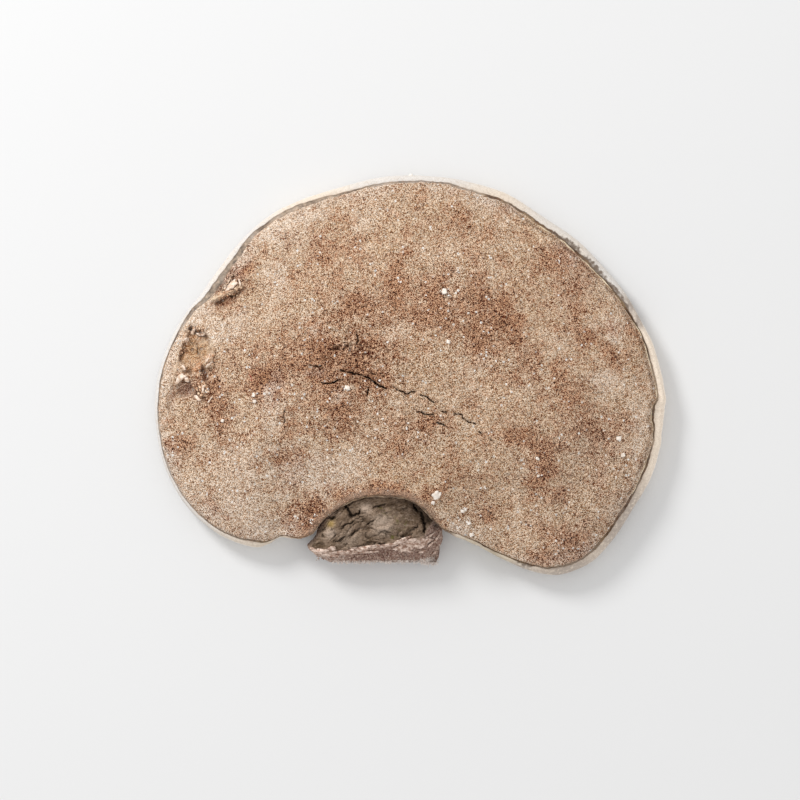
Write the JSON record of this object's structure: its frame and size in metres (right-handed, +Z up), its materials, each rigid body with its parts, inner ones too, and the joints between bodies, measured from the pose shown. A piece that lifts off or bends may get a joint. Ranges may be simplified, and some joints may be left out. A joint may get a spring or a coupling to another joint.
{
  "type": "bracket fungus",
  "caption": "Kidney-shaped woody bracket fungus with a brown crust, a pale blunt margin and a flat pore face, cut off flat at its base.",
  "frame": {"origin": "middle of the outline's box, on the plane that the pore face rests on", "axes": "+X along the kidney's long side, to the right when seen from above with the base towards the viewer; +Y away from the base; +Z up through the crust"},
  "size_m": [0.2496, 0.1954, 0.0367],
  "materials": {
    "bracket_flesh": "matte, dusty, corky"
  },
  "bodies": {
    "root": {"bracket": "bracket_flesh"}
  },
  "joints": []
}
